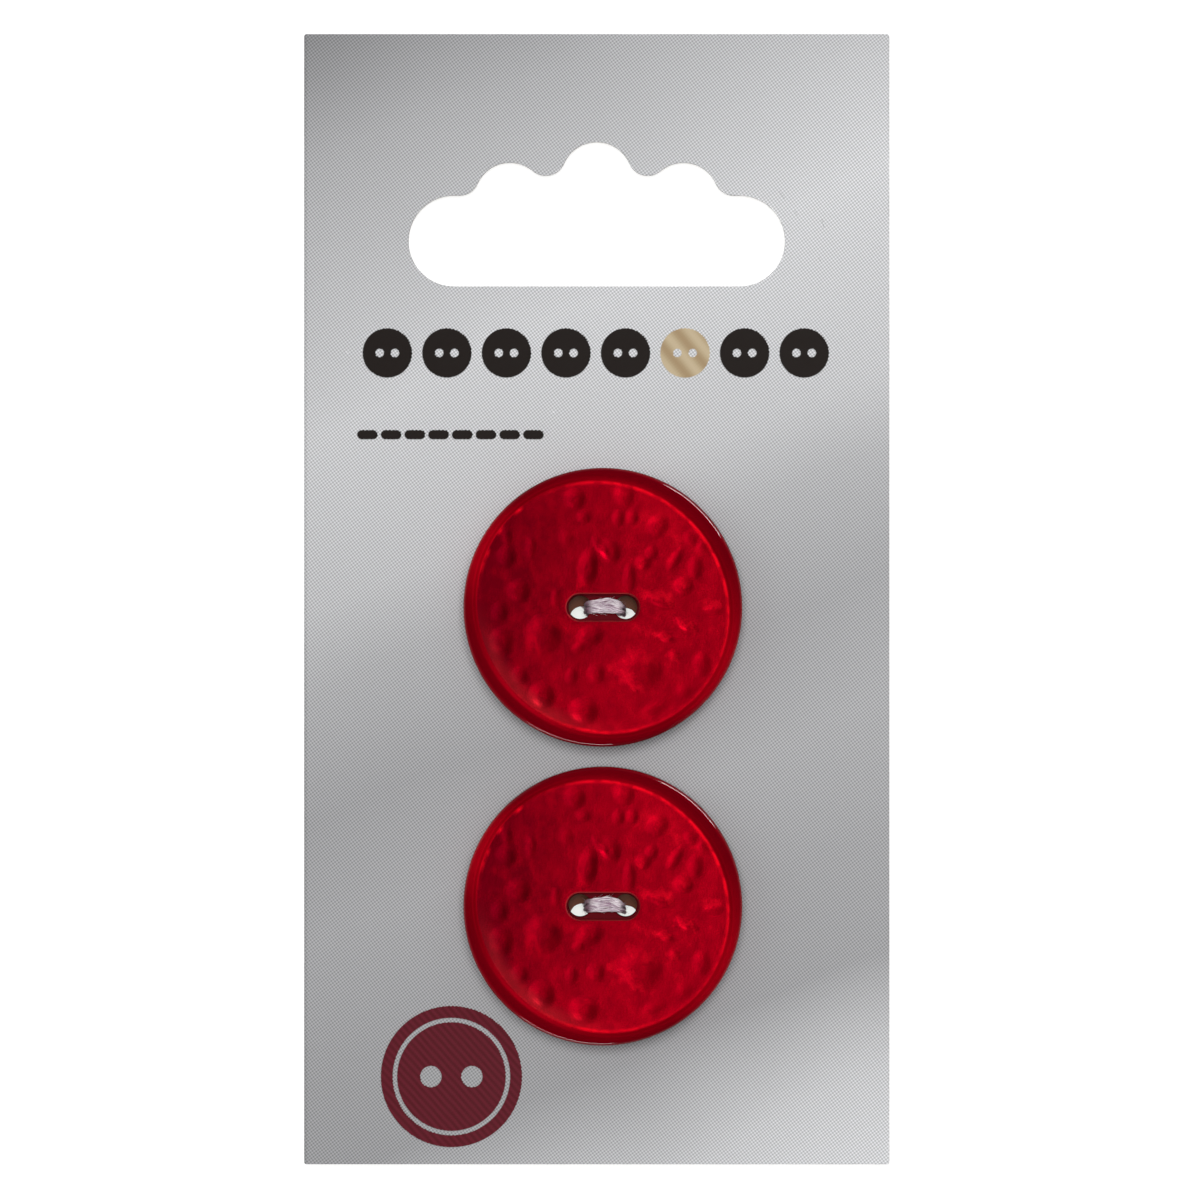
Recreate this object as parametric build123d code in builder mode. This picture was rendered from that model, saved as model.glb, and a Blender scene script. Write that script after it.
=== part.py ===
from build123d import *
import math
import os

# A hanging card with two flat two-hole buttons tied to its face.
# The card lies on its back: +Z points out of the printed face, +Y runs up the card towards
# the hang slot, and the origin is under the middle of the card, level with the lowest point.
# All sizes are in millimetres.

# Card
card_width = 58.0
card_height = 112.0
card_thickness = 0.5
card_corner = 0.25

# Hang slot: one straight edge below, and five round lobes above it
slot_width = 37.3
slot_below_top = 25.0
slot_end_radius = 4.5
slot_lobe_radius = 3.5
slot_web_radius = 2.0
slot_side_rise = 12.25
slot_side_offset = 8.6
slot_crown_rise = 14.3

# Buttons
button_diameter = 27.5
button_thickness = 3.2
button_gap = 1.95
button_aside = 0.6
button_above_middle = -0.8
rim_width = 0.9
rim_height = 0.2
rim_slope = 0.45
rim_round = 0.45
back_round = 0.9
dish_depth = 0.12

# Sewing recess in a button: a slot with a hole at each end
recess_width = 2.6
recess_depth = 0.9
recess_round = 0.12
eye_spacing = 4.5
eye_diameter = 2.3
eye_round = 0.1

# The card's thread holes are punched a little below the button's own holes, and nearer together.
punch_drop = 0.8
punch_inward = 0.3

# Thread: four passes side by side, knotted behind the card
thread_diameter = 0.32
thread_passes = 4
pass_gap = 0.11
pinched_gap = 0.01
row_inset = 0.5
over_round = 0.3
bend_round = 0.9
under_round = 0.22
knot_length = 1.7
knot_width = 0.84
tail_length = 3.6
tail_spread = 14.0
side_play = 0.05
gap = 0.02

# Worked out from the sizes above
thread_radius = thread_diameter / 2
under_layer = thread_radius + gap
knot_layer = under_layer + thread_diameter + gap
card_back = knot_layer + knot_width / 2
card_face = card_back + card_thickness
button_back = card_face + gap
field_level = button_back + button_thickness - rim_height
recess_floor = field_level - dish_depth - recess_depth
over_level = recess_floor + thread_radius + gap
pass_pitch = thread_diameter + pass_gap
pinched_pitch = thread_diameter + pinched_gap

# The passes go down side by side where a button's hole and a punched hole overlap, so the
# punched hole is as large as their row needs. The row stands off both centres, so each hole
# counts there with half the chord that it has at the row.
row_width = (thread_passes - 1) * pinched_pitch + thread_diameter + 2 * side_play
eye_chord = math.sqrt((eye_diameter / 2) ** 2 - row_inset**2)
punch_chord = row_width + punch_drop - eye_chord
punch_diameter = 2 * math.hypot(punch_chord, row_inset - punch_inward)
punch_spacing = eye_spacing - 2 * punch_inward
row_middle = row_width / 2 - eye_chord

# A pass turns down past the edge of the button's hole, which the outermost pass meets last.
outer_edge = (thread_passes - 1) / 2 * pass_pitch + thread_radius / 2
brink = eye_spacing / 2 - math.sqrt((eye_diameter / 2) ** 2 - outer_edge**2)

button_centres = {
    "upper": Vector(button_aside, button_above_middle),
    "lower": Vector(button_aside, button_above_middle - button_diameter - button_gap),
}


def towards(centre, point, radius):
    """The point of a circle that faces another point."""
    return centre + (point - centre).normalized() * radius


def web_centre(left, left_radius, right, right_radius):
    """Centre of the round that stands between two neighbouring lobes and touches both."""
    left_reach = left_radius + slot_web_radius
    right_reach = right_radius + slot_web_radius
    span = right - left
    along = (left_reach**2 - right_reach**2 + span.length**2) / (2 * span.length)
    rise = math.sqrt(left_reach**2 - along**2)
    unit = span.normalized()
    return left + unit * along + Vector(-unit.Y, unit.X) * rise


def bisecting(centre, start, end, radius):
    """The middle of the shorter arc between two points of a circle."""
    halfway = (start - centre).normalized() + (end - centre).normalized()
    return centre + halfway.normalized() * radius


def hang_slot_outline():
    """The slot's edge, lobe by lobe from left to right, closed along its straight lower edge."""
    base = card_height / 2 - slot_below_top
    end_offset = slot_width / 2 - slot_end_radius
    side_level = base + slot_side_rise - slot_lobe_radius
    lobes = [
        (Vector(-end_offset, base + slot_end_radius), slot_end_radius),
        (Vector(-slot_side_offset, side_level), slot_lobe_radius),
        (Vector(0, base + slot_crown_rise - slot_lobe_radius), slot_lobe_radius),
        (Vector(slot_side_offset, side_level), slot_lobe_radius),
        (Vector(end_offset, base + slot_end_radius), slot_end_radius),
    ]
    corner = Vector(-end_offset, base)
    start = corner
    for (lobe, radius), (following, following_radius) in zip(lobes, lobes[1:]):
        web = web_centre(lobe, radius, following, following_radius)
        leaving = towards(lobe, web, radius)
        arriving = towards(following, web, following_radius)
        if start is corner:
            ThreePointArc(start, lobe - Vector(radius, 0), leaving)
        else:
            ThreePointArc(start, bisecting(lobe, start, leaving, radius), leaving)
        ThreePointArc(leaving, bisecting(web, leaving, arriving, slot_web_radius), arriving)
        start = arriving
    last, last_radius = lobes[-1]
    other_corner = Vector(end_offset, base)
    ThreePointArc(start, last + Vector(last_radius, 0), other_corner)
    Line(other_corner, corner)


def make_card():
    """A sheet of board with its hang slot and a pair of thread holes behind each button."""
    with BuildPart() as card:
        with BuildSketch(Plane.XY.offset(card_back)):
            RectangleRounded(card_width, card_height, card_corner)
            with BuildLine():
                hang_slot_outline()
            make_face(mode=Mode.SUBTRACT)
            for centre in button_centres.values():
                with Locations(centre - Vector(0, punch_drop)):
                    with GridLocations(punch_spacing, 0, 2, 1):
                        Circle(punch_diameter / 2, mode=Mode.SUBTRACT)
        extrude(amount=card_thickness)
    card.part.label = "card"
    return card.part


def make_button(name, centre):
    """A disc with a smooth raised rim round a slightly dished field, and a sewing recess."""
    radius = button_diameter / 2
    rim_inside = radius - rim_width
    field_radius = rim_inside - rim_slope
    crest = field_level + rim_height
    axis = Axis((centre.X, centre.Y, 0), (0, 0, 1))
    with BuildPart() as button:
        with BuildSketch(Plane((centre.X, centre.Y, 0), (1, 0, 0), (0, -1, 0))):
            with BuildLine():
                Line((0, button_back), (radius, button_back))
                Line((radius, button_back), (radius, crest))
                Line((radius, crest), (rim_inside, crest))
                Line((rim_inside, crest), (field_radius, field_level))
                RadiusArc(
                    (field_radius, field_level),
                    (0, field_level - dish_depth),
                    (field_radius**2 + dish_depth**2) / (2 * dish_depth),
                )
                Line((0, field_level - dish_depth), (0, button_back))
            make_face()
        revolve(axis=axis)
        rings = button.edges().filter_by(GeomType.CIRCLE)
        outer = rings.filter_by(lambda edge: abs(edge.radius - radius) < gap)
        fillet(outer.sort_by(Axis.Z)[-1], rim_round)
        rings = button.edges().filter_by(GeomType.CIRCLE)
        outer = rings.filter_by(lambda edge: abs(edge.radius - radius) < gap)
        fillet(outer.sort_by(Axis.Z)[0], back_round)

        with BuildSketch(Plane((centre.X, centre.Y, recess_floor))):
            SlotCenterToCenter(eye_spacing, recess_width)
        extrude(amount=button_thickness, mode=Mode.SUBTRACT)
        brim = button.edges(Select.LAST).filter_by_position(
            Axis.Z, field_level - 2 * dish_depth, field_level
        )
        fillet(brim, recess_round)
        with BuildSketch(Plane((centre.X, centre.Y, button_back))):
            with GridLocations(eye_spacing, 0, 2, 1):
                Circle(eye_diameter / 2)
        extrude(amount=button_thickness, mode=Mode.SUBTRACT)
        mouths = button.edges().filter_by(GeomType.CIRCLE).group_by(Axis.Z)[0]
        fillet(mouths, eye_round)
    button.part.label = name
    return button.part


def winding(centre):
    """The thread's corners and their rounds, from the knot through every pass and back to it."""
    across_over = brink + over_round
    across_row = eye_spacing / 2 - row_inset
    knot = Vector(centre.X, centre.Y + row_middle, card_back - knot_layer)
    inside_knot = Vector(knot_length / 4, 0)
    corners = [knot - inside_knot]
    rounds = []
    for number in range(thread_passes):
        step = number - (thread_passes - 1) / 2
        over = step * pass_pitch
        under = row_middle + step * pinched_pitch
        down_level = card_back - (knot_layer if number == 0 else under_layer)
        up_level = card_back - (knot_layer if number == thread_passes - 1 else under_layer)
        corners += [
            Vector(centre.X - across_row, centre.Y + under, down_level),
            Vector(centre.X - across_row, centre.Y + under, button_back),
            Vector(centre.X - across_over, centre.Y + over, over_level),
            Vector(centre.X + across_over, centre.Y + over, over_level),
            Vector(centre.X + across_row, centre.Y + under, button_back),
            Vector(centre.X + across_row, centre.Y + under, up_level),
        ]
        rounds += [under_round, bend_round, over_round, over_round, bend_round, under_round]
    corners.append(knot + inside_knot)
    return knot, corners, rounds


def make_thread(name, centre):
    """Four passes of one thread through a button and the card, and the knot behind the card."""
    knot, corners, rounds = winding(centre)
    with BuildPart() as thread:
        with BuildLine() as route:
            FilletPolyline(*corners, radius=rounds)
        with BuildSketch(Plane(route.line @ 0, z_dir=route.line % 0)):
            Circle(thread_radius)
        sweep(path=route.line)
        for side in (-1, 1):
            heading = Vector(side, 0).rotate(Axis.Z, -tail_spread)
            with BuildSketch(Plane(knot, z_dir=heading)):
                Circle(thread_radius)
            extrude(amount=tail_length)
        with BuildSketch(Plane(knot)):
            Ellipse(knot_length / 2, knot_width / 2)
            with Locations((0, -knot_width / 2)):
                Rectangle(knot_length, knot_width, mode=Mode.SUBTRACT)
        revolve(axis=Axis(tuple(knot), (1, 0, 0)))
    thread.part.label = name
    route_length = sum(edge.length for edge in route.edges())
    print(name, "is", round(route_length + 2 * tail_length, 1), "mm long")
    return thread.part


os.makedirs("parts", exist_ok=True)
pieces = [make_card()]
for place, centre in button_centres.items():
    pieces.append(make_button(place + "_button", centre))
    pieces.append(make_thread(place + "_thread", centre))
for piece in pieces:
    export_step(piece, f"parts/{piece.label}.step")
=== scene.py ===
import math

import bmesh
import bpy
from mathutils import Matrix, Vector, noise
from mathutils.geometry import tessellate_polygon


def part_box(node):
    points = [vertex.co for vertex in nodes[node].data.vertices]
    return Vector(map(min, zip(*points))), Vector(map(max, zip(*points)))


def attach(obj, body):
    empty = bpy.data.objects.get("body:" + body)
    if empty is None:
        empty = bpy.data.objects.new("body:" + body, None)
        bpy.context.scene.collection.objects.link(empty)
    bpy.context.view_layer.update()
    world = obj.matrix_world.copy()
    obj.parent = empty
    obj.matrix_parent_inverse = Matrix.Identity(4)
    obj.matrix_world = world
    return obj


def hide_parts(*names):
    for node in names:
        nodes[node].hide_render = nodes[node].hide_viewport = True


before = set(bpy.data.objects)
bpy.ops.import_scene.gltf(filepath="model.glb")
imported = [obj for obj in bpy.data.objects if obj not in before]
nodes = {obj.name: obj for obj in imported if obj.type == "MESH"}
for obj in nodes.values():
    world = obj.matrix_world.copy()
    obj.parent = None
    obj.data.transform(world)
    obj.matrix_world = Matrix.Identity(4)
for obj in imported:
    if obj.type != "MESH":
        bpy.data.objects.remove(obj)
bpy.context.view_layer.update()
mm = 0.001
cardLow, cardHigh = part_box("card")
print("frame loaded with", ", ".join(sorted(nodes)))


class Wire:  # one output socket, so that node maths reads as a sum
    def __init__(self, graph, socket):
        self.graph = graph
        self.socket = socket

    def maths(self, operation, *values):
        return self.graph.node("ShaderNodeMath", {"operation": operation}, dict(enumerate(values)))

    def beside(self, name):  # another output of the same node
        return Wire(self.graph, self.socket.node.outputs[name])

    def __add__(self, other):
        return self.maths("ADD", self, other)

    def __sub__(self, other):
        return self.maths("SUBTRACT", self, other)

    def __rsub__(self, other):
        return self.maths("SUBTRACT", other, self)

    def __mul__(self, other):
        return self.maths("MULTIPLY", self, other)

    def __truediv__(self, other):
        return self.maths("DIVIDE", self, other)

    def __gt__(self, other):
        return self.maths("GREATER_THAN", self, other)

    def __lt__(self, other):
        return self.maths("LESS_THAN", self, other)

    __radd__ = __add__
    __rmul__ = __mul__

    def sine(self):
        return self.maths("SINE", self)

    def cosine(self):
        return self.maths("COSINE", self)

    def size(self):
        return self.maths("ABSOLUTE", self)

    def most(self, other):
        return self.maths("MAXIMUM", self, other)

    def wrap(self, pitch):  # what is left over after whole pitches
        return self.maths("WRAP", self, pitch, 0.0)

    def reach(self, other):  # length of the two together
        return self.maths("SQRT", self * self + other * other)

    def ease(self, low, high):  # smooth step from 0 at low to 1 at high
        settings = {"interpolation_type": "SMOOTHSTEP"}
        inputs = {"Value": self, "From Min": low, "From Max": high}
        return self.graph.node("ShaderNodeMapRange", settings, inputs)


class Graph:  # a node tree that is filled in one call a node
    def __init__(self, tree):
        self.tree = tree
        tree.nodes.clear()

    def node(self, kind, settings=None, inputs=None, output=0):
        made = self.tree.nodes.new(kind)
        for name, value in (settings or {}).items():
            if name == "stops":
                self.layStops(made.color_ramp, value)
            else:
                setattr(made, name, value)
        for key, value in (inputs or {}).items():
            several = value if isinstance(value, list) else [value]
            for single in several:
                if isinstance(single, Wire):
                    self.tree.links.new(single.socket, made.inputs[key])
                else:
                    made.inputs[key].default_value = single
        return Wire(self, made.outputs[output]) if made.outputs else None

    def layStops(self, ramp, stops):
        while len(ramp.elements) < len(stops):
            ramp.elements.new(1.0)
        for element, (position, colour) in zip(ramp.elements, stops):
            element.position = position
            element.color = colour

    def blend(self, factor, under, over, how="MIX"):  # colours
        settings = {"data_type": "RGBA", "blend_type": how}
        return self.node("ShaderNodeMix", settings, {0: factor, 6: under, 7: over}, 2)

    def colour(self, red, green, blue):
        return self.node("ShaderNodeCombineColor", None, {0: red, 1: green, 2: blue})

    def bump(self, height, strength, distance):
        inputs = {"Height": height, "Strength": strength, "Distance": distance}
        return self.node("ShaderNodeBump", None, inputs)

    def ramp(self, amount, stops):
        return self.node("ShaderNodeValToRGB", {"stops": stops}, {0: amount})

    def vector(self, operation, *values, scale=None):
        inputs = dict(enumerate(values))
        if scale is not None:
            inputs["Scale"] = scale
        return self.node("ShaderNodeVectorMath", {"operation": operation}, inputs)

    def cloud(self, place, scale, detail=2.0, roughness=0.5):  # noise about 0.5
        inputs = {"Vector": place, "Scale": scale, "Detail": detail, "Roughness": roughness}
        return self.node("ShaderNodeTexNoise", None, inputs)


def linear(red, green, blue):  # screen colour, 0 to 255, to the shader's own
    def one(value):
        value /= 255
        return value / 12.92 if value <= 0.04045 else ((value + 0.055) / 1.055) ** 2.4
    return (one(red), one(green), one(blue), 1.0)


def newMaterial(name):
    material = bpy.data.materials.new(name)
    material.use_nodes = True
    return material, Graph(material.node_tree)


def finishMaterial(material, graph, inputs):
    surface = graph.node("ShaderNodeBsdfPrincipled", None, inputs)
    graph.node("ShaderNodeOutputMaterial", None, {"Surface": surface})
    return material


def objectMillimetres(graph):  # place on the object, in millimetres
    place = graph.node("ShaderNodeTexCoord", None, None, "Object")
    return graph.vector("SCALE", place, scale=1 / mm)


def apart(graph, place):
    x = graph.node("ShaderNodeSeparateXYZ", None, {0: place}, "X")
    return x, x.beside("Y"), x.beside("Z")


def bridge(shape, here, there):  # faces between two rings of as many corners
    for index, corner in enumerate(here):
        after = (index + 1) % len(here)
        shape.faces.new((corner, there[index], there[after], here[after]))


def capBetween(shape, rings):  # flat faces that fill the first ring around the others
    corners = [corner for ring in rings for corner in ring]
    faces = tessellate_polygon([[corner.co for corner in ring] for ring in rings])
    return [shape.faces.new([corners[index] for index in face]) for face in faces]


def addObject(name, data):
    made = bpy.data.objects.new(name, data)
    bpy.context.scene.collection.objects.link(made)
    return made


def newPiece(name, mesh, materials, sharpAbove):
    for material in materials:
        mesh.materials.append(material)
    mesh.shade_smooth()
    mesh.set_sharp_from_angle(angle=math.radians(sharpAbove))
    return addObject(name, mesh)


studio = {
    "lens": 150.0,
    "viewWidth": 118.9 * mm,  # what the camera sees across the printed face
    "aside": 0.32 * mm,
    "above": -0.08 * mm,
    "ambient": 0.26,
    "ambientGloss": 0.07,
    "floorSize": 6.0,
    # painted shade where the card keeps the light off the floor under its middle: an oval patch, in
    # millimetres
    "dimBelow": 15.5,
    "dimTall": 1.6,  # height by width
    "dimReach": (14.0, 24.0),
    "floorPale": (0.42, 0.42, 0.42, 1),
    "floorDim": (0.26, 0.27, 0.26, 1),
    "glowPale": (0.7, 0.7, 0.7, 1),
    "glowDim": (0.62, 0.64, 0.62, 1),
    "whiteReach": (200.0, 1500.0),  # far away the floor is white, so that no horizon shows
    # the key and side lamps stand behind a crossed filter, which takes their gloss away
    "lamps": [  # name, place, width, height, watts, whether it shows in gloss
        ("keyLamp", (0.0, 0.22, 1.3), 0.62, 0.7, 12.6, False),
        ("leftLamp", (-1.1, 0.3, 0.8), 0.8, 1.0, 2.0, False),
        ("pearlLamp", (0.48, -0.38, 1.15), 0.7, 0.75, 6.0, True),
        ("rimLamp", (0.72, 0.77, 0.76), 0.6, 0.26, 15.0, True),
        ("lowLamp", (-0.3, -1.16, 0.66), 0.8, 0.16, 8.0, True),
    ],
}


def makeStudio(look):
    scene = bpy.context.scene
    scene.view_settings.view_transform = "Standard"
    world = bpy.data.worlds.new("studioAir")
    world.use_nodes = True
    graph = Graph(world.node_tree)
    isSeen = graph.node("ShaderNodeLightPath", None, None, "Is Camera Ray")
    isGloss = isSeen.beside("Is Glossy Ray")
    glossLoss = look["ambient"] - look["ambientGloss"]
    strength = isSeen * (1 - look["ambient"]) + look["ambient"] - isGloss * glossLoss
    air = graph.node("ShaderNodeBackground", None, {"Color": (1, 1, 1, 1), "Strength": strength})
    graph.node("ShaderNodeOutputWorld", None, {"Surface": air})
    scene.world = world

    middle = Vector((look["aside"], look["above"], cardHigh.z))
    camera = addObject("camera", bpy.data.cameras.new("camera"))
    camera.data.lens = look["lens"]
    camera.data.sensor_width = 36.0
    camera.data.clip_start = 0.01
    away = look["viewWidth"] * camera.data.lens / camera.data.sensor_width
    camera.location = middle + Vector((0, 0, away))
    scene.camera = camera

    for name, place, width, height, watts, isGlossy in look["lamps"]:
        lamp = addObject(name, bpy.data.lights.new(name, "AREA"))
        lamp.data.shape = "RECTANGLE"
        lamp.data.size = width
        lamp.data.size_y = height
        lamp.data.energy = watts
        lamp.location = place
        lamp.rotation_euler = (middle - Vector(place)).to_track_quat("-Z", "Y").to_euler()
        lamp.visible_glossy = isGlossy
        lamp.visible_diffuse = not isGlossy

    material, graph = newMaterial("paleFloor")
    x, y, z = apart(graph, objectMillimetres(graph))
    # painted shade: colour and glow are dimmer in the oval under the card
    dim = 1 - x.reach((y + look["dimBelow"]) / look["dimTall"]).ease(*look["dimReach"])
    pale = graph.blend(dim, look["floorPale"], look["floorDim"])
    glow = graph.blend(dim, look["glowPale"], look["glowDim"])
    glow = graph.blend(x.reach(y).ease(*look["whiteReach"]), glow, (1, 1, 1, 1))
    finishMaterial(material, graph, {
        "Base Color": pale, "Roughness": 0.9, "Specular IOR Level": 0.0,
        "Emission Color": glow, "Emission Strength": 1.0,
    })
    floorMesh = bpy.data.meshes.new("floor")
    half = look["floorSize"] / 2
    corners = [(-half, -half, 0), (half, -half, 0), (half, half, 0), (-half, half, 0)]
    floorMesh.from_pydata(corners, [], [(0, 1, 2, 3)])
    floor = newPiece("floor", floorMesh, [material], sharpAbove=40.0)


makeStudio(studio)
print("studio ready")


cardLook = {
    "sharpAbove": 25.0,
    "edgeRound": 0.07 * mm,
    # corners of the sheet's edge: inset, and distance from the face or the back, by edgeRound
    "frontEdge": [(1.4, 0.0), (1.0, 0.0), (0.3, 0.3), (0.0, 1.0)],
    "backEdge": [(0.0, 0.4), (0.4, 0.0), (0.8, 0.0)],
    "edgePitch": 2 * mm,
    "sheenTurn": 24.0,  # degrees that the bands of sheen rise to the right
    "sheenReach": 64.0,  # millimetres each way that the bands cover
    "sheen": [(-62, 208), (-55, 198), (-49, 180), (-43, 158), (-33, 161), (-20, 170), (-9, 164),
              (2, 178), (10, 195), (27, 207), (37, 195), (50, 176), (62, 143)],
    "sheenWander": 7.0,  # the bands of sheen waver by about half of this
    "castToRight": 0.0022,  # the sheet is this much lighter a millimetre further right
    "cast": (0.992, 0.995, 1.02),  # a cold silver
    "screenPitch": 0.263,  # the print's dot screen, in millimetres and degrees
    "screenTurn": 36.8,
    "screenDepth": 0.42,
    "grainDepth": 0.05,
    "inkSpread": 0.03,  # print edges follow the dot screen by this much
    "inkSoft": 0.04,
    "charcoal": linear(28, 21, 18),
    "gold": linear(166, 142, 108),
    "paleGold": linear(196, 178, 146),
    "darkRed": linear(80, 8, 22),
    "lightRed": linear(110, 24, 42),
    # painted shade behind the buttons, seen through their eyes
    "shadeBrown": linear(104, 60, 40),
    # a row of small discs across the card, one of them gold
    "rowMiddle": (-0.1, 24.4),
    "rowPitch": 5.9,
    "rowCount": 8,
    "rowRadius": 2.45,
    "rowEyes": (0.62, 0.17),  # spacing and radius of a disc's two holes, by its own radius
    "goldPlace": 5,
    "goldWaves": (2.4, 2.0),  # fine slanting lines, closer with larger numbers
    # a short running stitch under the row
    "stitchLeft": -23.9,
    "stitchRight": -5.2,
    "stitchLevel": 16.3,
    "stitchPitch": 2.35,
    "stitchShare": 0.48,  # of the pitch, without its round ends
    "stitchHeight": 0.92,
    "shadeReach": 9.0,  # painted brown shade behind a button reaches as far as this
    "shadeDepth": 0.98,
    # the thread has torn its holes a little downwards and outwards
    "leftTear": (-0.12 * mm, -0.3 * mm),
    "rightTear": (0.35 * mm, -0.5 * mm),
    "tearRagged": 0.1 * mm,
    "tearGrain": 0.5 * mm,
    "tearPitch": 0.12 * mm,
    "holeBelow": 5 * mm,  # an outline narrower than this is a thread hole
    # one large disc at the foot of the card
    "discMiddle": (-14.4, -47.3),
    "discRadius": 7.0,
    "discEyes": (0.58, 0.15),
    "discRing": 0.8,  # a thin bare ring, by the disc's radius
    "ringWidth": (0.16, 0.26),
    "redSlant": (0.74, 0.67),  # its fine lines
    "redWaves": 11.0,
    "redDepth": 0.5,
    "leftEdgeShade": 0.16,  # painted shade down the left edge
    "edgeReach": (0.15, 0.4),  # fades between these, in millimetres
    "scuffs": [  # start, end, width, lightening
        ((18.1, 40.4), (18.6, 39.7), 0.10, -0.25), ((19.6, 38.5), (19.9, 38.0), 0.08, -0.2),
        ((22.3, 37.6), (22.5, 36.9), 0.09, -0.25), ((22.0, 33.9), (22.2, 33.5), 0.08, -0.2),
        ((-4.4, 18.6), (-4.2, 18.5), 0.12, 0.2), ((-24.8, 24.5), (-24.6, 24.4), 0.12, 0.2),
    ],
    "roughness": (0.38, 0.12),  # the least, and how much it varies
    "pulp": (linear(214, 211, 204), linear(232, 230, 225)),
    "fleck": linear(168, 158, 146),
    "ply": linear(178, 172, 164),
    "plyWaves": 55.0,
}


def edgeLoops(node):  # the closed outlines of a flat sheet's upper face
    shape = bmesh.new()
    shape.from_mesh(nodes[node].data)
    bmesh.ops.remove_doubles(shape, verts=shape.verts, dist=1e-7)
    following = {}
    for edge in shape.edges:
        upward = [loop for loop in edge.link_loops if loop.face.normal.z > 0.9]
        if len(upward) == 1:
            start = upward[0].vert
            following[start.index] = (start.co.xy, upward[0].link_loop_next.vert.index)
    outlines = []
    while following:
        outline = []
        index = next(iter(following))
        while index in following:
            place, index = following.pop(index)
            outline.append(place)
        outlines.append(outline)
    shape.free()
    return sorted(outlines, key=len)


def spreadOutline(outline, pitch):  # the same outline with points at an even pitch on long edges
    points = []
    for here, there in zip(outline, outline[1:] + outline[:1]):
        count = max(1, round((there - here).length / pitch))
        points += [here.lerp(there, step / count) for step in range(count)]
    return points


def insetOutline(outline, amount):  # moved to the left of its own direction, into the sheet
    moved = []
    for before, here, after in zip(outline[-1:] + outline[:-1], outline, outline[1:] + outline[:1]):
        arriving = (here - before).normalized()
        leaving = (after - here).normalized()
        sides = Vector((-arriving.y, arriving.x)) + Vector((-leaving.y, leaving.x))
        moved.append(here + sides * (2 * amount / sides.length_squared))
    return moved


def tornOutline(look, outline):  # a thread hole as the thread has pulled it
    middle = sum(outline, Vector((0, 0))) / len(outline)
    tear = Vector(look["leftTear" if middle.x < cardLow.x + cardHigh.x else "rightTear"])
    torn = []
    for point in spreadOutline(outline, look["tearPitch"]):
        spoke = point - middle
        ragged = look["tearRagged"] * noise.noise(Vector((*point, 0)) / look["tearGrain"])
        torn.append(middle + tear + spoke * (1 + ragged / spoke.length))
    return torn


def makeCardMesh(look):
    mesh = bpy.data.meshes.new("cardSheet")
    sheet = bmesh.new()
    uvLayer = sheet.loops.layers.uv.new("OFBake")
    rounding = look["edgeRound"]
    levels = [(rounding * inset, cardHigh.z - rounding * drop) for inset, drop in look["frontEdge"]]
    levels += [(rounding * inset, cardLow.z + rounding * rise) for inset, rise in look["backEdge"]]
    faceRings = []
    backRings = []
    for outline in edgeLoops("card"):
        across = max(point.x for point in outline) - min(point.x for point in outline)
        isHole = across < look["holeBelow"]
        outline = tornOutline(look, outline) if isHole else spreadOutline(outline, look["edgePitch"])
        rings = []
        for inset, level in levels:
            ring = insetOutline(outline, inset)
            rings.append([sheet.verts.new((point.x, point.y, level)) for point in ring])
        for upper, lower in zip(rings, rings[1:]):
            bridge(sheet, upper, lower)
        faceRings.append(rings[0])
        backRings.append(rings[-1])
    capBetween(sheet, faceRings)
    capBetween(sheet, backRings)
    bmesh.ops.recalc_face_normals(sheet, faces=sheet.faces)

    width = cardHigh.x - cardLow.x
    for face in sheet.faces:
        isPrinted = face.normal.z > 0.05
        face.material_index = 0 if isPrinted else 1
        for loop in face.loops:  # the printed side fills the map's left half, the bare side its right
            place = (loop.vert.co.xy - cardLow.xy) / (2 * width)
            loop[uvLayer].uv = (place.x + (0.0 if isPrinted else 0.5), place.y + 0.01)
    sheet.to_mesh(mesh)
    sheet.free()
    return mesh


def discMask(look, kind, x, y):  # a button's sign: a disc with two holes
    soft = look["inkSoft"]
    radius = look[kind + "Radius"]
    eyeSpacing, eyeRadius = (share * radius for share in look[kind + "Eyes"])
    disc = 1 - x.reach(y).ease(radius - soft, radius + soft)
    holes = (x.size() - eyeSpacing / 2).reach(y).ease(eyeRadius - soft, eyeRadius + soft)
    return disc * holes


def strokes(x, y, marks):  # short straight marks with soft edges, one added to the other
    total = 0.0
    for (startX, startY), (endX, endY), width, amount in marks:
        span = Vector((endX - startX, endY - startY))
        heading = span.normalized()
        beside = ((x - startX) * -heading.y + (y - startY) * heading.x).size()
        along = ((x - startX) * heading.x + (y - startY) * heading.y - span.length / 2).size()
        past = (along - span.length / 2).most(0.0)
        total = (1 - past.reach(beside).ease(width * 0.1, width)) * amount + total
    return total


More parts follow.
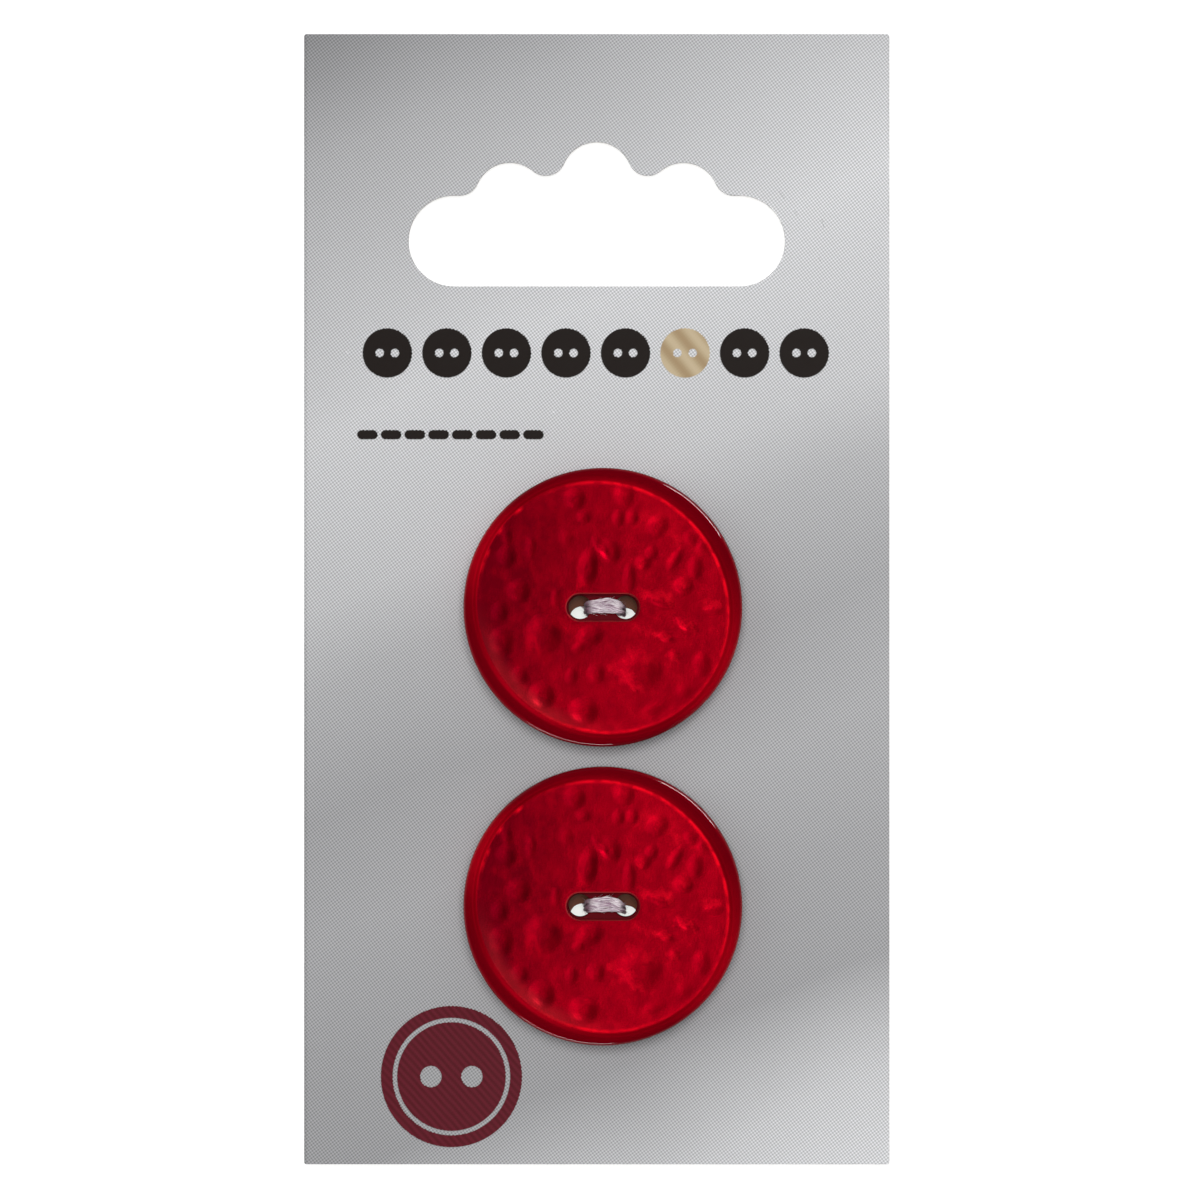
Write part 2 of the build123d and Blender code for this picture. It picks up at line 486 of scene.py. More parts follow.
def printedFace(look):
    material, graph = newMaterial("printedFace")
    place = objectMillimetres(graph)
    x, y, z = apart(graph, place)
    turn = math.radians(look["sheenTurn"])
    reach = look["sheenReach"]
    across = y * math.cos(turn) - x * math.sin(turn)
    wander = graph.cloud(place, 0.035, 1.0) - 0.5
    stops = [((level + reach) / (2 * reach), linear(tone, tone, tone)) for level, tone in look["sheen"]]
    sheen = graph.ramp((across + wander * look["sheenWander"]) / (2 * reach) + 0.5, stops)
    toRight = x * look["castToRight"] + 1.0
    cast = graph.colour(*(toRight * share for share in look["cast"]))
    silver = graph.blend(1.0, sheen, cast, "MULTIPLY")

    # the dot screen, two fine waves square to each other
    screenTurn = math.radians(look["screenTurn"])
    wave = 2 * math.pi / look["screenPitch"]
    along = x * math.cos(screenTurn) + y * math.sin(screenTurn)
    beside = y * math.cos(screenTurn) - x * math.sin(screenTurn)
    screen = (along * wave).sine() * 0.5 + (beside * wave).sine() * 0.5
    grain = graph.cloud(place, 2.2, 2.0) - 0.5
    shade = 1 + screen * look["screenDepth"] + grain * look["grainDepth"]
    ink = graph.blend(1.0, silver, graph.colour(shade, shade, shade), "MULTIPLY")

    x = x + screen * look["inkSpread"]
    y = y + screen * look["inkSpread"]
    middleX, middleY = look["rowMiddle"]
    rowX = x - middleX
    rowY = y - middleY
    halfRow = look["rowCount"] * look["rowPitch"] / 2
    inCell = (rowX + halfRow).wrap(look["rowPitch"]) - look["rowPitch"] / 2
    rowDisc = discMask(look, "row", inCell, rowY) * (rowX.size() < halfRow)
    goldLeft = look["goldPlace"] * look["rowPitch"] - halfRow
    isGold = (rowX > goldLeft) * (rowX < goldLeft + look["rowPitch"])
    waveX, waveY = look["goldWaves"]
    goldLines = (rowX * waveX + rowY * waveY).sine() * 0.5 + 0.5
    goldSheen = graph.blend(goldLines, look["gold"], look["paleGold"])
    ink = graph.blend(rowDisc, ink, graph.blend(isGold, look["charcoal"], goldSheen))

    stitchX = x - look["stitchLeft"]
    stitchLength = look["stitchRight"] - look["stitchLeft"]
    inStitch = stitchX.wrap(look["stitchPitch"]) - look["stitchPitch"] / 2
    stitchEnd = (inStitch.size() - look["stitchPitch"] * look["stitchShare"] / 2).most(0.0)
    halfStitch = look["stitchHeight"] / 2
    soft = look["inkSoft"]
    stitch = 1 - stitchEnd.reach(y - look["stitchLevel"]).ease(halfStitch - soft, halfStitch + soft)
    stitch = stitch * (stitchX > 0.0) * (stitchX < stitchLength)
    ink = graph.blend(stitch, ink, look["charcoal"])

    middleX, middleY = look["discMiddle"]
    discX = x - middleX
    discY = y - middleY
    fromRing = (discX.reach(discY) - look["discRadius"] * look["discRing"]).size()
    bigDisc = discMask(look, "disc", discX, discY) * fromRing.ease(*look["ringWidth"])
    slantX, slantY = look["redSlant"]
    redLines = ((discX * slantX + discY * slantY) * look["redWaves"]).sine() * 0.5 + 0.5
    redSheen = graph.blend(redLines * look["redDepth"], look["darkRed"], look["lightRed"])
    ink = graph.blend(bigDisc, ink, redSheen)

    # the scuffs are wear; the darkening down the left edge is painted shade
    atLeftEdge = 1 - (x - cardLow.x / mm).ease(*look["edgeReach"])
    wearAndEdgeShade = 1 + strokes(x, y, look["scuffs"]) - atLeftEdge * look["leftEdgeShade"]
    ink = graph.blend(1.0, ink, graph.colour(wearAndEdgeShade, wearAndEdgeShade, wearAndEdgeShade), "MULTIPLY")

    for name in ("upper_button", "lower_button"):  # painted shade, dark brown, round the thread holes
        low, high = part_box(name)
        middle = (low + high) / (2 * mm)
        fromMiddle = (x - middle.x).reach(y - middle.y)
        holeShade = 1 - fromMiddle.ease(look["shadeReach"] * 0.6, look["shadeReach"])
        ink = graph.blend(holeShade * look["shadeDepth"], ink, look["shadeBrown"])

    relief = graph.cloud(place, 1.6, 3.0) * 0.6 + graph.cloud(place, 9.0, 2.0) * 0.4
    leastRough, moreRough = look["roughness"]
    return finishMaterial(material, graph, {
        "Base Color": ink, "Roughness": graph.cloud(place, 0.5, 2.0) * moreRough + leastRough,
        "Normal": graph.bump(relief, 0.05, 0.2 * mm), "Specular IOR Level": 0.15,
    })


def bareBoard(look):
    material, graph = newMaterial("bareBoard")
    place = objectMillimetres(graph)
    x, y, z = apart(graph, place)
    flecks = graph.cloud(graph.vector("MULTIPLY", place, (3.0, 9.0, 9.0)), 1.0, 2.0).ease(0.66, 0.72)
    board = graph.blend(graph.cloud(place, 0.8, 3.0), *look["pulp"])
    board = graph.blend(flecks * 0.35, board, look["fleck"])
    plies = ((z * look["plyWaves"]).sine() * 0.5 + 0.5) * 0.16  # layers of pulp at the cut edge
    board = graph.blend(plies, board, look["ply"])
    fibre = graph.cloud(graph.vector("MULTIPLY", place, (1.5, 5.0, 12.0)), 2.0, 4.0)
    return finishMaterial(material, graph, {
        "Base Color": board, "Roughness": 0.85,
        "Normal": graph.bump(fibre, 0.25, 0.2 * mm), "Specular IOR Level": 0.2,
    })


def makeCard(look):
    materials = [printedFace(look), bareBoard(look)]
    card = newPiece("cardSheet", makeCardMesh(look), materials, look["sharpAbove"])
    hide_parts("card")
    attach(card, "root")


makeCard(cardLook)
print("card made")


buttonLook = {
    "sharpAbove": 50.0,
    "segments": 360,
    "fieldRings": 48,
    "wallRings": 5,
    "recessSteps": 3,
    "crestSteps": 7,
    "backSteps": 8,
    # where rings lie between the field and the crest, over the crest, and down the side
    "slopeParts": (0.1, 0.3, 0.5, 0.7, 0.9, 1.0),
    "crestParts": (0.35, 0.7, 1.0),
    "sideParts": (0.33, 0.66, 1.0),
    "rimWidth": 0.9 * mm,
    "rimSlope": 0.45 * mm,
    "rimHeight": 0.2 * mm,
    "uneven": 0.3 * mm,  # the field is a little oval, longest from upper left to lower right
    "crestRound": 0.45 * mm,
    "backRound": 0.9 * mm,
    "dish": 0.12 * mm,
    "recessLength": 7.1 * mm,
    "recessWidth": 2.6 * mm,
    "recessDepth": 0.9 * mm,
    "recessRound": 0.07 * mm,
    "eyeSpacing": 4.5 * mm,
    "eyeRadius": 1.15 * mm,
    "eyeRound": 0.1 * mm,
    "eyeSegments": 64,
    "flatBack": 0.05 * mm,  # a narrow flat ring inside the back's rounding
    # the map: face and sides spread round one point, the back round another
    "faceUv": (0.375, 0.375),
    "backUv": (0.79, 0.79),
    "uvScale": 0.37 / (17.6 * mm),
    "backUvScale": 0.2 / (13.75 * mm),
    "wallUv": 0.45 * mm,  # the recess wall lies this far inside its brim
    "eyeUv": (0.87, 0.62, 0.2),  # spacing and size of the eyes, and how much they narrow downwards
    # painted light round the button, in degrees counted from the right, and an amount there
    # painted highlight where light catches the field's edge
    "glowRound": [
        (0, 0.7), (12, 1.0), (72, 0.95), (96, 0.7), (108, 0.3), (122, 0.0), (128, 0.0), (131, 0.9),
        (134, 0.0), (140, 0.0), (143, 0.7), (146, 0.0), (152, 0.0), (156, 0.8), (164, 0.2),
        (176, 0.0), (200, 0.0), (235, 0.12), (250, 0.3), (264, 0.9), (285, 0.6), (302, 0.15),
        (330, 0.25), (360, 0.7),
    ],
    # painted reflection inside the field's lower left edge
    "milkRound": [
        (0, 0.0), (176, 0.0), (205, 0.8), (245, 1.0), (262, 0.35), (280, 0.0), (360, 0.0),
    ],
    # painted highlight on the rim, at the upper left and lower right
    "rimHighlightRound": [
        (0, 0.25), (20, 0.0), (128, 0.0), (146, 0.6), (162, 0.65), (178, 0.1), (190, 0.0),
        (300, 0.0), (320, 0.5), (342, 0.6), (360, 0.25),
    ],
    "paintedStreaks": [  # painted highlights where the dents catch light: start, end, width, lightening, in millimetres from the middle
        ((0.9, -5.8), (3.5, -8.1), 0.7, 0.16), ((3.9, 1.4), (6.4, 1.0), 0.7, 0.16),
        ((6.4, 1.0), (6.8, 0.4), 0.6, 0.12), ((3.2, -1.8), (4.5, -2.5), 0.6, 0.12),
        ((5.4, -2.6), (6.4, -3.1), 0.6, 0.16), ((7.3, -1.4), (8.9, -2.1), 0.55, 0.18),
        ((6.6, -4.6), (7.5, -5.0), 0.5, 0.14), ((10.0, 0.2), (11.6, 0.3), 0.55, 0.14),
        ((-4.8, -1.6), (-2.3, -2.2), 0.9, 0.12), ((-7.2, -3.1), (-6.5, -4.2), 0.8, 0.12),
        ((-2.4, 2.9), (-2.2, 2.5), 0.7, 0.14), ((-6.9, 6.0), (-7.0, 3.9), 0.6, 0.08),
        ((8.0, 2.8), (8.4, 2.4), 0.6, 0.14), ((3.6, 4.4), (3.8, 4.2), 0.6, 0.14),
        ((2.6, -4.0), (5.4, -5.4), 0.8, 0.08), ((4.2, 8.9), (7.4, 6.6), 1.1, 0.1),
    ],
    "pearlTones": [(0.2, linear(112, 0, 18)), (0.5, linear(168, 0, 24)), (0.85, linear(232, 10, 36))],
    "mottle": (0.5, 3.0, 0.6),  # scale, detail and roughness
    "flakes": (7.0, 2.0, 0.7),
    "streaks": (1.0, 3.0, 0.5),
    "streakStretch": (1.3, 0.7, 1.0),
    "pearlShares": (0.4, 0.2, 0.2, 0.008),  # of the mottle, flakes and streaks, and what is added
    "paintedLean": (0.0115, -0.002),  # painted light: lightening a millimetre to the right and a millimetre upwards
    "paintedTwist": 0.00045,  # painted light towards the upper right and lower left
    "paintedHollow": 0.0005,  # painted light towards the top and bottom, and away from the sides
    "pearlWaver": 2.4,  # the streaks bend to and fro by up to half of this
    # painted reflection: a milky pink sheen inside the field's edge
    "milk": linear(200, 62, 64),
    "milkLine": (0.3, 1.5, 0.16),  # middle inside the field's edge, half width, strength
    # painted shade in the sewing recess
    "recessShadeRed": linear(96, 18, 26),
    # painted highlight on the recess's brim
    "brimHighlightRed": linear(122, 40, 40),
    "rimTones": [
        (0.0, linear(126, 0, 14)), (0.28, linear(118, 0, 13)), (0.4, linear(108, 0, 12)),
        (0.85, linear(102, 0, 12)), (1.0, linear(122, 2, 16)),
    ],
    # painted highlight on the rim
    "rimHighlightRed": linear(186, 4, 24),
    # painted highlight along the field's edge
    "glow": linear(255, 10, 34),
    "glowLine": (0.1, 0.29, 0.9),
    "waves": [(2.6 * mm, 0.030 * mm, 0.0), (0.9 * mm, 0.010 * mm, 0.01)],  # grain, height, layer
    "reliefFades": (6, 14),  # how steeply the relief begins at the recess and ends at the rim
    "dentSpread": 1.2,  # where a dent ends, by its half width
    "dentWall": 0.9,
    "dentDepth": 1.4,
    "dents": [  # place, half width, half height, turn in degrees, depth
        (-6.0, -8.7, 1.15, 1.3, 20, 0.17), (-1.9, -10.2, 1.4, 1.2, -10, 0.18),
        (-8.3, 1.6, 1.1, 1.15, 0, 0.13), (-10.2, -0.5, 0.8, 1.0, 0, 0.08),
        (-10.0, -3.4, 1.1, 1.4, 0, 0.12), (-5.8, -2.6, 1.7, 1.8, 0, 0.15),
        (-1.5, 3.8, 0.9, 1.9, -8, 0.15), (0.7, 5.5, 0.9, 1.2, 20, 0.12),
        (2.6, 2.7, 0.6, 1.6, 0, 0.08), (-2.8, 10.7, 1.0, 1.0, 0, 0.13),
        (2.1, 11.1, 1.0, 1.1, 0, 0.11), (-1.9, 8.9, 0.7, 0.6, 0, 0.07),
        (1.5, 8.8, 0.6, 0.7, 0, 0.09), (2.9, 8.9, 0.6, 0.7, 0, 0.08),
        (5.4, 8.0, 1.0, 1.1, -30, 0.11), (-9.5, 5.0, 0.9, 1.0, 0, 0.11),
        (-9.5, 7.0, 0.5, 1.1, 10, 0.07), (-7.1, 5.9, 0.5, 1.3, 0, 0.06),
        (7.9, 2.1, 0.9, 0.9, 0, 0.11), (9.1, 3.9, 0.7, 1.1, 0, 0.09), (4.0, 4.4, 0.8, 0.7, 0, 0.08),
        (5.5, 0.7, 1.6, 0.6, -20, 0.09), (8.2, -1.8, 1.3, 0.5, -25, 0.09),
        (6.2, -3.0, 0.9, 0.45, -20, 0.07), (7.0, -4.8, 0.6, 0.5, 0, 0.06),
        (3.6, -6.3, 2.2, 1.9, -25, 0.15), (-0.7, -6.5, 0.8, 0.9, 20, 0.10),
        (-3.1, -6.8, 0.6, 0.8, 0, 0.07), (-8.2, -6.7, 0.8, 0.9, 0, 0.08),
        (-1.3, -2.8, 1.4, 1.0, 25, 0.13), (-2.4, -4.0, 0.6, 0.5, 0, 0.06),
        (-4.6, 0.9, 0.5, 0.9, 0, 0.06), (9.7, -5.6, 0.8, 1.2, 0, 0.08),
        (10.9, -0.3, 0.9, 0.4, 0, 0.06), (7.1, 4.7, 0.5, 1.3, -30, 0.07),
        (4.8, 5.4, 0.6, 0.7, 0, 0.07), (-0.3, 6.0, 0.5, 1.2, 40, 0.08),
        (10.0, 6.0, 0.7, 0.9, -40, 0.06), (5.0, -10.0, 1.2, 0.6, 20, 0.05),
        (8.0, -8.3, 0.8, 0.8, 0, 0.05), (-3.6, 6.9, 0.7, 0.9, 10, 0.05),
        (8.6, 6.8, 0.6, 0.8, 30, 0.06),
    ],
}


def smooth(part):
    part = min(1.0, max(0.0, part))
    return part * part * (3 - 2 * part)


def fieldRelief(look, x, y):  # how far the dents and waves move the field
    height = 0.0
    for dentX, dentY, wide, tall, turn, depth in look["dents"]:
        across = x / mm - dentX
        above = y / mm - dentY
        if max(abs(across), abs(above)) > look["dentSpread"] * max(wide, tall):
            continue
        cosine = math.cos(math.radians(turn))
        sine = math.sin(math.radians(turn))
        ahead = (across * cosine + above * sine) / wide
        aside = (above * cosine - across * sine) / tall
        wall = (look["dentSpread"] - math.hypot(ahead, aside)) / look["dentWall"]
        height -= depth * look["dentDepth"] * mm * smooth(wall)
    for grain, tall, layer in look["waves"]:
        height += tall * noise.noise(Vector((x, y, layer)) / grain)
    return height


def stadiumPoint(length, width, angle):  # where a ray from the middle leaves a slot
    straight = (length - width) / 2
    radius = width / 2
    cosine, sine = math.cos(angle), math.sin(angle)
    if abs(sine) > 1e-9 and abs(radius / sine * cosine) <= straight:
        return Vector((radius * cosine / abs(sine), math.copysign(radius, sine)))
    ahead = abs(cosine) * straight
    far = ahead + math.sqrt(ahead * ahead - straight * straight + radius * radius)
    return Vector((far * cosine, far * sine))


def quarterTurn(steps):  # the angles of a rounding, without its start
    return [math.radians(90 * step / steps) for step in range(1, steps + 1)]


def makeButtonMesh(look, radius, thickness):  # about its own middle, its back at level 0
    button = bmesh.new()
    uvLayer = button.loops.layers.uv.new("OFBake")
    rings = []  # from the foot of the recess out over the rim to the back
    flatPlace = {}  # where each corner lies in the map
    count = look["segments"]
    angles = [2 * math.pi * step / count for step in range(count)]
    field = thickness - look["rimHeight"]
    brim = field - look["dish"]
    floorLevel = brim - look["recessDepth"]
    rimInside = radius - look["rimWidth"] - look["rimSlope"]
    oval = [rimInside - look["uneven"] * math.sin(2 * angle) for angle in angles]

    def newCorner(place, level, flat):
        corner = button.verts.new((place.x, place.y, level))
        flatPlace[corner] = flat
        return corner

    def addRing(places, levels, flats=None):
        levels = levels if isinstance(levels, list) else [levels] * count
        rings.append([newCorner(*corner) for corner in zip(places, levels, flats or places)])

    def slotOutline(outset):
        length = look["recessLength"] + 2 * outset
        width = look["recessWidth"] + 2 * outset
        return [stadiumPoint(length, width, angle) for angle in angles]

    def circleOutline(distances):
        return [Vector((far * math.cos(angle), far * math.sin(angle)))
                for far, angle in zip(distances, angles)]

    def addCircle(far, level, flat):
        addRing(circleOutline([far] * count), level, circleOutline([flat] * count))

    rounding = look["recessRound"]
    for step in range(look["wallRings"]):
        part = step / (look["wallRings"] - 1)
        level = floorLevel + (brim - rounding - floorLevel) * part
        addRing(slotOutline(0.0), level, slotOutline((part - 1) * look["wallUv"]))
    for turn in quarterTurn(look["recessSteps"]):
        outline = slotOutline(rounding * (1 - math.cos(turn)))
        addRing(outline, brim - rounding * (1 - math.sin(turn)))

    begin, end = look["reliefFades"]
    for step in range(1, look["fieldRings"] + 1):
        part = step / look["fieldRings"]
        fade = min(1.0, part * begin) * min(1.0, (1 - part) * end)
        places = []
        levels = []
        for inner, outer in zip(slotOutline(rounding), circleOutline(oval)):
            place = inner.lerp(outer, part)
            dish = look["dish"] * max(0.0, 1 - (place.length / rimInside) ** 2)
            places.append(place)
            levels.append(field - dish + fade * fieldRelief(look, place.x, place.y))
        addRing(places, levels)

    for part in look["slopeParts"]:  # up to the rim
        rise = 0.5 - 0.5 * math.cos(math.pi * part)
        addRing(circleOutline([edge + look["rimSlope"] * part for edge in oval]),
                field + look["rimHeight"] * rise)
    rounding = look["crestRound"]
    crestEnd = radius - rounding
    crest = [edge + look["rimSlope"] for edge in oval]
    for part in look["crestParts"]:
        addRing(circleOutline([start + (crestEnd - start) * part for start in crest]), thickness)
    for turn in quarterTurn(look["crestSteps"]):
        addCircle(crestEnd + rounding * math.sin(turn), thickness - rounding * (1 - math.cos(turn)),
                  crestEnd + rounding * turn)
    flat = crestEnd + rounding * math.pi / 2
    shoulder = thickness - rounding
    rounding = look["backRound"]
    height = shoulder - rounding
    for part in look["sideParts"]:
        addCircle(radius, shoulder - height * part, flat + height * part)
    flat += height
    for turn in quarterTurn(look["backSteps"]):
        addCircle(radius - rounding * (1 - math.cos(turn)), rounding * (1 - math.sin(turn)),
                  flat + rounding * turn)
    flat += rounding * math.pi / 2
    addCircle(radius - rounding - look["flatBack"], 0.0, flat + look["flatBack"])
    for inside, outside in zip(rings, rings[1:]):
        bridge(button, inside, outside)

    rounding = look["eyeRound"]
    turns = [0.0] + quarterTurn(look["recessSteps"])
    profile = [(rounding * (1 - math.sin(turn)), rounding * (1 - math.cos(turn))) for turn in turns]
    profile = [(rounding * 1.4, 0.0)] + profile  # outset, and depth from the nearer face
    profile = [(outset, floorLevel - depth) for outset, depth in profile] + profile[::-1]
    eyeSpacing, eyeSize, eyeTaper = look["eyeUv"]
    eyes = []
    for side in (-1, 1):
        middle = Vector((side * look["eyeSpacing"] / 2, 0))
        eye = []
        for outset, level in profile:
            size = eyeSize - eyeTaper * (floorLevel - level) / floorLevel
            corners = []
            for step in range(look["eyeSegments"]):
                angle = 2 * math.pi * step / look["eyeSegments"]
                spoke = Vector((math.cos(angle), math.sin(angle))) * (look["eyeRadius"] + outset)
                corners.append(newCorner(middle + spoke, level, middle * eyeSpacing + spoke * size))
            eye.append(corners)
        for upper, lower in zip(eye, eye[1:]):
            bridge(button, upper, lower)
        eyes.append(eye)
    capBetween(button, [rings[0]] + [eye[0] for eye in eyes])
    backFaces = set(capBetween(button, [rings[-1]] + [eye[-1] for eye in eyes]))
    bmesh.ops.recalc_face_normals(button, faces=button.faces)
    for face in button.faces:
        for loop in face.loops:
            if face in backFaces:
                loop[uvLayer].uv = Vector(look["backUv"]) + loop.vert.co.xy * look["backUvScale"]
            else:
                loop[uvLayer].uv = Vector(look["faceUv"]) + flatPlace[loop.vert] * look["uvScale"]
    mesh = bpy.data.meshes.new("button")
    button.to_mesh(mesh)
    button.free()
    return mesh


def redPlastic(look, radius):
    material, graph = newMaterial("pearlyRedPlastic")
    uvPlace = graph.node("ShaderNodeUVMap", {"uv_map": "OFBake"})
    centred = graph.vector("SUBTRACT", uvPlace, (*look["faceUv"], 0))
    place = graph.vector("SCALE", centred, scale=1 / (look["uvScale"] * mm))
    x, y, z = apart(graph, place)
    far = x.reach(y)
    rimSlope = look["rimSlope"] / mm
    rimWidth = look["rimWidth"] / mm
    # soft masks in millimetres. The field's edge is as in the mesh, nearer where x and y agree in sign
    rimInside = (radius - look["rimWidth"] - look["rimSlope"]) / mm
    pastEdge = far - rimInside + (x * y * 2 / (far * far + 0.001)) * (look["uneven"] / mm)
    inField = 1 - pastEdge.ease(-0.1, 0.06)
    onRim = pastEdge.ease(rimSlope * 0.8, rimSlope * 1.3)
    crestEnd = (radius - look["crestRound"]) / mm
    onOuterEdge = far.ease(crestEnd + 0.14, crestEnd + 0.2)
    halfWidth = look["recessWidth"] / 2 / mm
    halfSlot = (look["recessLength"] - look["recessWidth"]) / 2 / mm
    pastRecess = (x.size() - halfSlot).most(0.0).reach(y) - halfWidth
    inRecess = 1 - pastRecess.ease(-0.04, 0.06)
    onBrim = 1 - (pastRecess - 0.08).size().ease(0.02, 0.10)
    turn = y.maths("ARCTAN2", y, x) / (2 * math.pi)
    turn = turn + (turn < 0.0)

    def aroundButton(amounts):  # an amount that changes with the angle
        stops = [(degrees / 360, (amount, amount, amount, 1)) for degrees, amount in amounts]
        return graph.ramp(turn, stops)

    def edgeLine(kind):  # a soft painted line of light that follows the field's edge
        inside, spread, strength = look[kind + "Line"]
        line = 1 - (pastEdge + inside).size().ease(0.0, spread)
        return line * aroundButton(look[kind + "Round"]) * strength

    mottle = graph.cloud(place, *look["mottle"])
    flakes = graph.cloud(place, *look["flakes"])
    streaks = graph.cloud(graph.vector("MULTIPLY", place, look["streakStretch"]), *look["streaks"])
    mottleShare, flakeShare, streakShare, base = look["pearlShares"]
    leanX, leanY = look["paintedLean"]
    pearlAndPaintedLight = mottle * mottleShare + flakes * flakeShare + streaks * streakShare + base
    # painted light and shade across the field, on top of the pearl's own mottle
    pearlAndPaintedLight = pearlAndPaintedLight + x * leanX + y * leanY + x * y * look["paintedTwist"]
    pearlAndPaintedLight = pearlAndPaintedLight + (y * y - x * x) * look["paintedHollow"]
    # painted highlights in streaks, broken up by the flakes
    streakX = x + (graph.cloud(place, 0.7, 2.0) - 0.5) * look["pearlWaver"]
    streakY = y + (streaks - 0.5) * look["pearlWaver"]
    pearlAndPaintedLight = pearlAndPaintedLight + strokes(streakX, streakY, look["paintedStreaks"]) * (0.6 + flakes * 0.8)
    pearl = graph.ramp(pearlAndPaintedLight, look["pearlTones"])
    # painted reflection along the field's lower left edge
    pearl = graph.blend(edgeLine("milk"), pearl, look["milk"])
    # painted shade in the recess
    pearl = graph.blend(inRecess, pearl, look["recessShadeRed"])
    # painted highlight on the recess's brim
    pearl = graph.blend(onBrim * 0.75, pearl, look["brimHighlightRed"])
    rim = graph.ramp(pastEdge / (rimWidth + rimSlope), look["rimTones"])
    # painted highlight on the rim, stronger at some angles
    rim = graph.blend(aroundButton(look["rimHighlightRound"]) * 0.7, rim, look["rimHighlightRed"])
    colour = graph.blend(inField, rim, pearl)
    # painted highlight along the field's edge, patchy
    patchy = graph.cloud(place, 0.8, 1.0).ease(0.36, 0.56) * 0.65 + 0.35
    colour = graph.blend(edgeLine("glow") * patchy, colour, look["glow"])

    fine = graph.cloud(place, 5.0, 2.0) * inField
    isMetal = (1 - onRim) * (inField * 0.72 + 0.28) * (1 - inRecess)
    return finishMaterial(material, graph, {
        "Base Color": colour, "Metallic": isMetal * 0.88, "Roughness": 0.46,
        "Normal": graph.bump(fine, 0.12, 0.2 * mm), "Specular IOR Level": 0.0,
        "Coat Weight": onOuterEdge * 0.75, "Coat Roughness": 0.05, "Coat IOR": 1.5,
    })


def makeButtons(look):
    low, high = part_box("upper_button")
    radius = (high.x - low.x) / 2
    mesh = makeButtonMesh(look, radius, high.z - low.z)
    material = redPlastic(look, radius)
    for name in ("upper", "lower"):
        low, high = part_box(name + "_button")
        placed = mesh.copy()
        placed.transform(Matrix.Translation(((low.x + high.x) / 2, (low.y + high.y) / 2, low.z)))
        button = newPiece(name + "PearlButton", placed, [material], look["sharpAbove"])
        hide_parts(name + "_button")
        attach(button, "root")


makeButtons(buttonLook)
print("buttons made")


threadLook = {
    "passes": 4,
    "passPitch": 0.40 * mm,
    "pinchedPitch": 0.17 * mm,
    "rowMiddle": -0.34 * mm,
    "leftRow": (-1.62 * mm, -0.42 * mm),  # where the strands go down, from the middle of the button
    "rightRow": (2.0 * mm, -0.50 * mm),
    "stagger": 0.12 * mm,
    "overShort": 0.12 * mm,  # a strand's upper corners stand this much nearer the middle
    "overBridge": 0.20 * mm,  # from the recess floor to the middle of a strand
    "bridgeRise": 0.16 * mm,
    # height of the middle strand, and share of the strands' pitch: left end, top, right end
    "leftLie": (0.0 * mm, 0.76),
    "topLie": (0.2 * mm, 0.96),
    "rightLie": (-0.02 * mm, 0.7),
    "topPlace": 0.6 * mm,
    "underLayer": 0.2 * mm,
    "knotLayer": 0.54 * mm,
    "recessFloor": 1.98 * mm,  # above a button's back
    "overBend": 0.45 * mm,
    "topBend": 1.6 * mm,
    "throughBend": 0.9 * mm,
    "underBend": 0.22 * mm,
    "closing": 0.01 * mm,  # the route ends this far from its start
    "knotHang": 0.08 * mm,
    "knotSize": (0.26, 0.15, 0.16),
    "knotSteps": 56,
    "knotTurns": (1.08, 1.84),  # start and sweep, in half turns
    "knotBend": 0.5 * mm,
    # the thread's two tails beside the knot, in millimetres from its middle
    "knotLead": [(-3.3, 0.75, -0.10), (-2.376, 0.7125, -0.06), (-1.485, 0.15, -0.10),
                 (-0.5, -0.42, -0.12)],
    "knotTail": [(0.6, -0.46, 0.12), (1.188, 0.375, 0.02), (1.98, 0.7875, -0.05), (3.3, 0.975, -0.12)],
    "white": linear(255, 248, 250),
    "mauve": linear(158, 120, 144),
    "fibreMauve": linear(140, 104, 132),
    "strandWhite": linear(250, 240, 244),
    # painted shade on the thread low in the recess and holes
    "shadeMauve": linear(112, 66, 86),
    "fibrePitch": 0.6 * mm,
    "fibreTurns": 4,
    "shadeSpan": (1.68, 2.4),  # painted shade fades out between these millimetres above the card's face
    "bridgeMiddle": 0.93,  # the bridge is lightest here, with painted shade where its ends dip into the holes
    "bridgeEnds": (1.1, 1.95),
    "inputs": {
        "Step": 0.06 * mm,
        "Filaments": 7,
        "Filament Radius": 0.058 * mm,
        "Filament Offset": 0.13 * mm,
        "Twist Pitch": 3.4 * mm,
        "Wander": 0.16 * mm,
        "Fray": 0.15 * mm,
        "Hair Density": 7e6,
        "Hair Radius": 0.007 * mm,
        "Hair Size": 0.8 * mm,
        "Lowest Level": 0.005 * mm,  # what hangs lower is pressed flat on the table
        "Seed": 7,
    },
    "seedStep": 4,  # the lower thread lies a little differently
    "hairCurve": {"Resolution": 4, "Start": (0, 0, -0.04), "Middle": (0.5, 0.05, 0.05),
                  "End": (1.0, 0.02, 0.2)},
}


